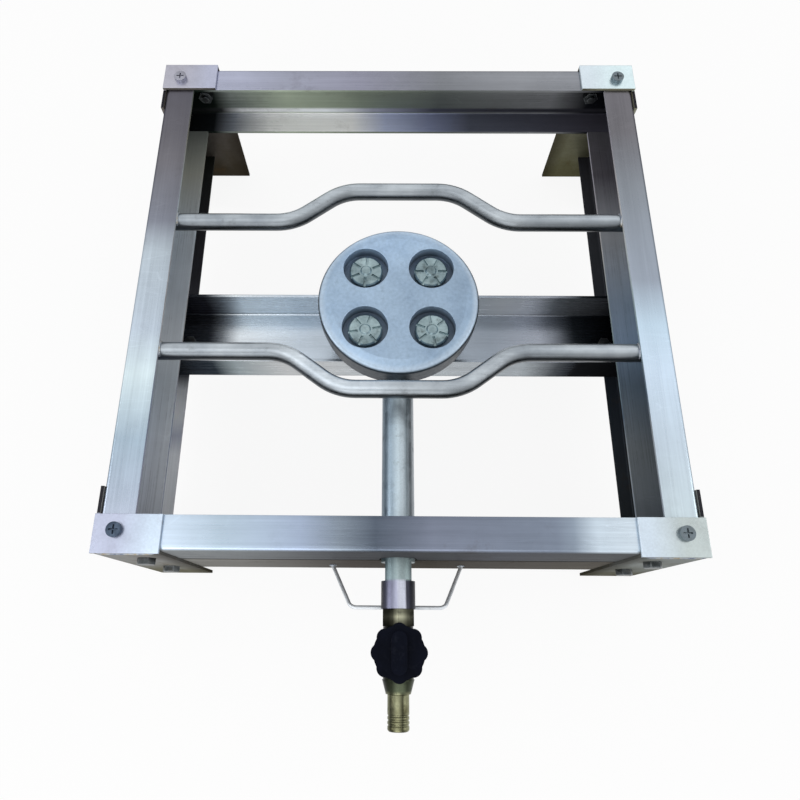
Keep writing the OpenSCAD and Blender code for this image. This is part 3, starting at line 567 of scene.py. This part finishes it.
def leg_metal(name, cap, inner, wall, foot):
    """Leg: a bright cap on top, inner at its inner end, and dull walls, brown towards the foot; flat tops off
    the cap are painted in shadow.
    """
    m = Mat(name)
    up = m.span(m.up, 0.3, 0.8)
    off = m.absolute(m.math("SUBTRACT", m.y, MID_Y))
    on_cap = m.span(off, CAP_BACK - 1 * MM, CAP_BACK)
    height = m.span(m.z, 0.0, 0.11)
    patch = m.noise(26.0, 6.0, 0.62)
    blotch = m.plus(height, m.vary(patch, -0.22, 0.22))
    walls = m.two_tone(blotch, foot, wall, 0.1, 0.75)
    side = m.absolute(m.x)
    plate = m.blend(m.span(side, LEG_END + 6 * MM, LEG_END + 26 * MM), rgb(*inner), rgb(*cap))
    plate = m.scaled(plate, m.vary(m.noise(18.0, 5.0), 0.92, 1.06))
    # The cap's end faces are as bright as its top
    rim = m.times(m.span(m.z, TOP_Z, TOP_Z + 0.3 * MM), m.span(m.absolute(m.axis(m.facing, "X")), 0.4, 0.6))
    walls = m.blend(rim, walls, plate)
    # Flat tops off the cap: painted shadow
    tops = m.blend(on_cap, rgb(44, 44, 48), plate)
    colour = m.blend(up, walls, tops)
    below = m.span(m.math("MAXIMUM", rim, up), 0, 1, 0.6, 0.0)
    end = m.times(m.span(side, LEG_END + 12 * MM, LEG_END + 2 * MM), below)
    colour = m.blend(end, colour, rgb(44, 38, 30))
    grain = m.grain((60.0, 60.0, 900.0), 4.0, 0.65)
    fine = m.noise(700.0, 3.0, 0.7)
    colour = m.scaled(colour, m.span(m.plus(grain, fine), 0.7, 1.3, 0.9, 1.08))
    rust = m.times(m.spots(60.0, 0.56, 0.74, 7.0), m.span(up, 0, 1, 0.55, 0.12))
    colour = m.blend(rust, colour, rgb(88, 70, 46))
    gloss = m.plus(m.vary(patch, 0.34, 0.48), m.times(rust, 0.4))
    gloss = m.plus(gloss, m.span(up, 0, 1, 0.0, -0.1))
    m.put(m.shader.inputs["Metallic"], m.span(up, 0, 1, 0.35, 1.0))
    return m.finish(colour, gloss, m.plus(fine, patch), 0.28, 0.12 * MM, 0.6 * MM,
                    Specular_IOR_Level=0.0, Specular_Tint=(0.2, 0.2, 0.2, 1.0))


def screw_steel(name):
    """Blued screws, except for the plated one at the back on the left."""
    m = Mat(name)
    patch = m.noise(160.0, 5.0, 0.65)
    blued = m.two_tone(patch, (36, 44, 56), (86, 100, 118))
    blued = m.blend(m.span(m.x, -10 * MM, 10 * MM, 0.0, 0.55), blued, rgb(132, 142, 144))
    plated = m.two_tone(patch, (128, 128, 138), (176, 178, 190))
    left = m.span(m.x, 10 * MM, -10 * MM)
    back = m.span(m.y, MID_Y - 10 * MM, MID_Y + 10 * MM)
    colour = m.blend(m.times(left, back), blued, plated)
    fine = m.noise(1500.0, 3.0, 0.7)
    colour = m.scaled(colour, m.vary(fine, 0.88, 1.1))
    return m.finish(colour, m.vary(patch, 0.28, 0.45), fine, 0.25, 0.06 * MM, 0.3 * MM, Metallic=1.0)


def weld_steel(name):
    """Weld metal: silver grey with straw and blue heat tint."""
    m = Mat(name)
    tint = m.ramp(m.noise(240.0, 4.0, 0.6),
                  colours((0.3, (96, 104, 126)), (0.5, (158, 164, 170)), (0.7, (150, 134, 104))))
    fine = m.noise(1200.0, 3.0, 0.7)
    return m.finish(tint, m.vary(fine, 0.3, 0.45), fine, 0.3, 0.08 * MM, Metallic=1.0)


# which node wears which material

def wear(material, *nodes):
    for node in nodes:
        o = NODES[node]
        o.data.materials.clear()
        o.data.materials.append(material)


def across(*pairs):
    """Colours at places across the stand, in millimetres from its middle."""
    return [(at * MM, colour) for at, colour in pairs]


def depth(*pairs):
    """Colours at places from front to back, in millimetres from the stand's middle."""
    return [(at * MM + MID_Y, colour) for at, colour in pairs]


# Colour stops along the rails and the channel paint in reflections, highlights and shade: near white where a
# face mirrors the lit room, near black where it lies in shade
def dress_rails():
    side_outer = depth((-183, (150, 156, 166)), (-60, (176, 184, 194)), (60, (158, 166, 176)),
                       (183, (132, 136, 146)))
    wear(brushed(
        "steel_rail_left", "Y",
        tops=depth((-183, (184, 190, 208)), (-116, (172, 191, 207)), (-72, (214, 230, 236)),
                   (-40, (194, 207, 221)), (18, (184, 196, 206)), (44, (132, 136, 148)),
                   (96, (115, 114, 120)), (183, (90, 89, 98))),
        sides=depth((-183, (185, 188, 203)), (-88, (141, 153, 174)), (-29, (203, 203, 203)),
                    (20, (175, 178, 183)), (62, (183, 195, 203)), (118, (146, 145, 136)),
                    (177, (86, 96, 95))),
        lower=depth((-183, (226, 229, 233)), (-107, (222, 226, 230)), (-60, (206, 214, 220)),
                    (-29, (214, 220, 226)), (7, (190, 198, 206)), (62, (196, 204, 212)),
                    (118, (170, 172, 164)), (177, (100, 106, 104))),
        outer=side_outer), "rail_left")
    wear(brushed(
        "steel_rail_right", "Y",
        tops=depth((-183, (202, 217, 222)), (-120, (187, 201, 213)), (-68, (195, 212, 229)),
                   (-36, (186, 206, 222)), (-2, (148, 157, 170)), (71, (132, 138, 146)),
                   (124, (116, 115, 120)), (183, (118, 116, 122))),
        sides=depth((-183, (166, 178, 193)), (-107, (160, 168, 174)), (-84, (107, 123, 141)),
                    (-27, (174, 197, 203)), (50, (203, 203, 203)), (118, (166, 164, 174)),
                    (183, (174, 174, 182))),
        lower=depth((-183, (124, 130, 136)), (-107, (124, 130, 134)), (-62, (104, 118, 132)),
                    (-29, (142, 160, 184)), (7, (142, 156, 174)), (60, (164, 168, 174)),
                    (118, (90, 88, 94)), (183, (84, 84, 88))),
        outer=side_outer), "rail_right")
    wear(brushed(
        "steel_rail_front", "X",
        tops=across((-177, (216, 230, 244)), (-140, (190, 205, 221)), (-105, (164, 180, 194)),
                    (-58, (148, 161, 182)), (-35, (126, 137, 150)), (-14, (84, 93, 106)),
                    (20, (115, 122, 138)), (92, (122, 132, 148)), (102, (138, 150, 165)),
                    (116, (198, 212, 224)), (177, (221, 232, 241))),
        sides=across((-177, (152, 155, 156)), (-96, (136, 140, 143)), (-31, (88, 90, 94)),
                     (21, (80, 82, 85)), (60, (92, 94, 100)), (177, (104, 106, 105)))), "rail_front")
    # Back rail: both ends of its inner face in painted shade, and the left half of its lower flange and fold
    # near white as painted reflection
    wear(brushed(
        "steel_rail_back", "X",
        tops=across((-177, (188, 192, 213)), (-122, (175, 179, 199)), (-85, (155, 158, 174)),
                    (-30, (150, 151, 168)), (32, (130, 133, 139)), (93, (147, 150, 156)),
                    (177, (144, 147, 154))),
        sides=across((-177, (22, 30, 26)), (-150, (28, 36, 32)), (-136, (140, 148, 143)),
                     (-90, (176, 188, 168)), (-30, (128, 138, 124)), (34, (98, 104, 101)),
                     (125, (138, 140, 143)), (155, (26, 28, 33)), (177, (18, 19, 23))),
        lower=across((-177, (22, 24, 24)), (-152, (28, 32, 34)), (-136, (140, 146, 156)),
                     (-105, (252, 252, 252)), (-38, (252, 252, 252)), (-10, (184, 193, 221)),
                     (26, (132, 140, 169)), (60, (85, 89, 102)), (160, (70, 69, 79))),
        fold=across((-160, (40, 42, 42)), (-146, (60, 62, 64)), (-130, (252, 253, 255)),
                    (-60, (240, 245, 250)), (-20, (160, 162, 176)), (30, (78, 80, 92)),
                    (160, (50, 50, 56))),
        outer=across((-177, (146, 152, 162)), (-50, (174, 182, 192)), (70, (156, 164, 174)),
                     (177, (136, 140, 150)))), "rail_back")
    # Channel: dark ends as painted reflection of the side rails' dark walls, and a light middle as painted
    # reflection of the lit room
    wear(brushed(
        "steel_channel", "X",
        tops=across((-172, (80, 84, 92)), (-148, (84, 88, 96)), (-124, (238, 246, 252)),
                    (-76, (204, 216, 228)), (74, (156, 166, 178)), (112, (168, 174, 186)),
                    (140, (60, 66, 72)), (172, (30, 34, 40))),
        sides=across((-172, (60, 62, 72)), (-148, (70, 72, 82)), (-120, (206, 218, 228)),
                     (-76, (210, 222, 232)), (82, (252, 254, 255)), (104, (240, 244, 250)),
                     (122, (160, 166, 172)), (172, (80, 84, 92))),
        outer=across((-172, (60, 64, 70)), (-137, (90, 96, 102)), (-120, (200, 212, 216)),
                     (-83, (252, 254, 255)), (-20, (240, 246, 250)), (92, (220, 228, 234)),
                     (118, (120, 124, 128)), (134, (60, 62, 66)), (172, (40, 42, 46))),
        shine=0.85, face_shine=0.6, outer_shine=0.6, rough=0.24), "cross_channel")


# Colour stops of the skirts paint in light and shade: the left skirt near white at the front as if lit and
# dark further back in the rail's shade, the right and front skirts dark in shade
def dress_skirts():
    wear(brushed(
        "steel_skirt_left", "Y",
        tops=depth((-183, (252, 253, 255)), (-100, (250, 252, 255)), (-84, (206, 210, 224)),
                   (-70, (250, 252, 255)), (-46, (250, 252, 255)), (-34, (110, 112, 120)),
                   (60, (60, 60, 66)), (183, (36, 38, 34))),
        sides=depth((-183, (236, 240, 246)), (-90, (200, 204, 210)), (-20, (120, 124, 130)),
                    (183, (50, 54, 50))),
        outer=depth((-183, (110, 112, 116)), (183, (96, 98, 100))),
        shine=0.0, outer_shine=0.7, rough=0.42), "skirt_left")
    wear(brushed(
        "steel_skirt_right", "Y",
        tops=depth((-183, (70, 74, 78)), (-40, (56, 64, 74)), (40, (80, 84, 90)), (183, (56, 56, 60))),
        sides=depth((-183, (50, 52, 56)), (183, (60, 60, 66))),
        outer=depth((-183, (104, 106, 110)), (183, (96, 98, 100))),
        shine=0.2, outer_shine=0.7, rough=0.42, stain=0.6), "skirt_right")
    wear(brushed(
        "steel_skirt_front", "X",
        tops=across((-177, (60, 58, 54)), (177, (56, 54, 50))),
        sides=across((-177, (144, 143, 138)), (-96, (130, 129, 126)), (-31, (88, 84, 80)),
                     (21, (78, 74, 68)), (60, (90, 87, 84)), (177, (104, 101, 94))),
        shine=0.2, rough=0.42, stain=0.75), "skirt_front")


def dress():
    dress_rails()
    dress_skirts()
    # The four legs are one steel; their colours carry painted light and shade by corner, the back left leg
    # darkest as it stands in shade
    wear(leg_metal("steel_leg_a", cap=(176, 182, 202), inner=(197, 212, 228), wall=(150, 150, 148),
                   foot=(112, 110, 94)), "leg_front_left")
    wear(leg_metal("steel_leg_b", cap=(186, 196, 196), inner=(202, 215, 227), wall=(140, 144, 142),
                   foot=(90, 88, 72)), "leg_front_right")
    wear(leg_metal("steel_leg_c", cap=(184, 184, 196), inner=(184, 188, 208), wall=(108, 104, 100),
                   foot=(68, 62, 52)), "leg_back_left")
    wear(leg_metal("steel_leg_d", cap=(220, 238, 242), inner=(216, 228, 236), wall=(140, 140, 122),
                   foot=(98, 96, 72)), "leg_back_right")
    wear(dull_steel("steel_cleat", (104, 106, 108), (60, 62, 64)), "cleat_left", "cleat_right")
    wear(dull_steel("steel_fastener", (116, 120, 122), (58, 62, 64), rough=0.4, edge=0.3 * MM, grow=5.0),
         "leg_bolts", "leg_nuts", "corner_nuts", "cleat_bolts", "cleat_nuts", "burner_bolt", "burner_washer")
    wear(screw_steel("steel_screws"), "corner_screws")
    bar_light, bar_dark = (192, 200, 206), (150, 158, 166)
    wear(round_steel("steel_bar_back", bar_light, bar_dark), "pan_bar_back")
    wear(round_steel("steel_bar_front", bar_light, bar_dark, bend_highlight=1.5), "pan_bar_front")
    wear(tube_steel("steel_tube"), "mixing_tube")
    wear(round_steel("steel_wire", (238, 242, 246), (214, 220, 226), rough=0.5, lit=(0, 0, 1), deep=0.85,
                     metal=0.5), "wire_bracket", "spring_washer")
    wear(cast_silver("paint_burner_top", (160, 182, 204), (136, 158, 182), centre=(0, BURNER_Y, 0), wall=1.0),
         "burner_top")
    # The bowl is darker than the head: partly painted shade under the head, partly heat-darkened casting
    wear(cast_silver("paint_burner_bowl", (92, 102, 114), (44, 50, 58)), "burner_bowl")
    wear(brass("brass_jet", (166, 186, 190), (104, 122, 128), darkening=0.55, rough=0.36),
         "burner_jet_front_left", "burner_jet_front_right", "burner_jet_back_left", "burner_jet_back_right")
    wear(brass("brass_tap", (158, 160, 130), (112, 110, 80), darkening=0.45, tap=True),
         "tap_body", "gas_injector", "tap_plug", "gland_nut", "hose_nipple")
    wear(moulded_black("plastic_knob"), "knob")


# weld beads

# Distance between a bead's rings and between its scales, points in a ring, and share of the radius
# that scales and wobble change
RING_STEP = 0.3 * MM
SCALE_STEP = 1.1 * MM
RING_POINTS = 12
RIPPLE = 0.14
WOBBLE = 0.12


def weld_bead(name, route, radius, metal):
    """A run of weld along a route: overlapping scales, thick in the middle and thin at both ends."""
    rnd = random.Random(name)
    route = [Vector(p) for p in route]
    lengths = [(b - a).length for a, b in zip(route, route[1:])]
    total = sum(lengths)
    rings = max(int(total / RING_STEP), RING_POINTS)
    turns = [2 * math.pi * j / RING_POINTS for j in range(RING_POINTS)]
    bm = bmesh.new()
    loops = []
    wobble = 0.0
    for i in range(rings + 1):
        d = total * i / rings
        k = 0
        while k < len(lengths) - 1 and d > lengths[k]:
            d -= lengths[k]
            k += 1
        ahead = (route[k + 1] - route[k]).normalized()
        at = route[k] + ahead * d
        side = ahead.orthogonal().normalized()
        other = ahead.cross(side)
        t = i / rings
        taper = math.sqrt(max(1 - (2 * t - 1) ** 6, 0.02))
        wobble = 0.7 * wobble + 0.3 * rnd.uniform(-1, 1)
        ripple = 1 - RIPPLE + RIPPLE * abs(math.sin(math.pi * total * t / SCALE_STEP))
        r = radius * taper * ripple * (1 + WOBBLE * wobble)
        loops.append([bm.verts.new(at + (side * math.cos(a) + other * math.sin(a)) * r) for a in turns])
    for a, b in zip(loops, loops[1:]):
        for j in range(RING_POINTS):
            k = (j + 1) % RING_POINTS
            bm.faces.new((a[j], a[k], b[k], b[j]))
    bm.faces.new(loops[0][::-1])
    bm.faces.new(loops[-1])
    for face in bm.faces:
        face.smooth = True
    bmesh.ops.recalc_face_normals(bm, faces=bm.faces)
    mesh = bpy.data.meshes.new(name)
    bm.to_mesh(mesh)
    bm.free()
    bead = bpy.data.objects.new(name, mesh)
    bpy.context.scene.collection.objects.link(bead)
    mesh.materials.append(metal)
    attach(bead, "stand")


def degrees(start, end, step):
    return [math.radians(d) for d in range(start, end, step)]


def weld_bars(metal):
    """Round each bar's upper side, where it passes under the edge of a side rail's flange."""
    x = FLANGE_X + 0.3 * MM
    for bar in ("pan_bar_front", "pan_bar_back"):
        low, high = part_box(bar)
        r = (high.z - low.z) / 2
        y = high.y - r if bar == "pan_bar_front" else low.y + r
        out = r + 0.2 * MM
        for side, word in ((-1, "left"), (1, "right")):
            arc = [(side * x, y + out * math.sin(a), low.z + r + out * math.cos(a))
                   for a in degrees(-62, 63, 4)]
            weld_bead("weld_%s_%s" % (bar, word), arc, 1.1 * MM, metal)


def weld_caps(metal):
    """Along the outer edges of each leg's cap, where it meets the leg."""
    gap = 3 * MM
    for right in (-1, 1):
        for back in (-1, 1):
            node = "leg_%s_%s" % ("back" if back > 0 else "front", "right" if right > 0 else "left")
            low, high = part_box(node)
            x = high.x if right > 0 else low.x
            y = high.y if back > 0 else low.y
            side = [(x, y - back * d, TOP_Z) for d in (gap, CAP_DEPTH - 1 * MM)]
            end = [(x - right * d, y, TOP_Z) for d in (gap, CAP_WIDTH - gap)]
            weld_bead("weld_side_" + node, side, 0.7 * MM, metal)
            weld_bead("weld_end_" + node, end, 0.7 * MM, metal)


def weld_wire(metal):
    """Round both roots of the wire that carries the tube's end."""
    low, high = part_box("wire_bracket")
    for side, word in ((-1, "left"), (1, "right")):
        x = side * (high.x - 1.8 * MM)
        ring = [(x + 1.9 * MM * math.cos(a), high.y - 0.3 * MM, low.z + 2.2 * MM + 2.1 * MM * math.sin(a))
                for a in degrees(0, 331, 12)]
        weld_bead("weld_wire_" + word, ring, 0.8 * MM, metal)


def soften(node, width, segments=2):
    """Rounds a CAD node's sharp edges where it shows; the node's own mesh stays as it is."""
    o = NODES[node]
    join = o.modifiers.new("join", "WELD")
    join.merge_threshold = 0.002 * MM
    bevel = o.modifiers.new("round", "BEVEL")
    bevel.width = width
    bevel.segments = segments
    bevel.limit_method = "ANGLE"
    bevel.angle_limit = math.radians(35)
    bevel.harden_normals = False


bpy.context.scene.view_settings.view_transform = "Standard"
make_camera()
make_world()
# Lamps: name, place, aim, diameter in metres and watts
area_light("key", (-0.5, -0.4, 1.5), (0, 0.05, 0.1), 1.2, 2.5)
area_light("fill", (0.9, 0.6, 1.1), (0, 0.05, 0.1), 1.0, 1)
area_light("front", (-0.3, -1.6, 0.9), (0, 0.1, 0.1), 1.4, 8)
area_light("left", (-1.6, -0.2, 0.8), (0.1, 0.05, 0.1), 0.9, 6)
area_light("right", (1.6, -0.2, 0.8), (-0.1, 0.05, 0.1), 0.9, 5)
make_floor()
dress()
weld_metal = weld_steel("steel_weld")
weld_bars(weld_metal)
weld_caps(weld_metal)
weld_wire(weld_metal)
soften("knob", 1.1 * MM, 3)
for name in ("tap_body", "gland_nut", "hose_nipple", "leg_bolts", "corner_screws", "cleat_bolts",
             "burner_bolt"):
    soften(name, 0.3 * MM)
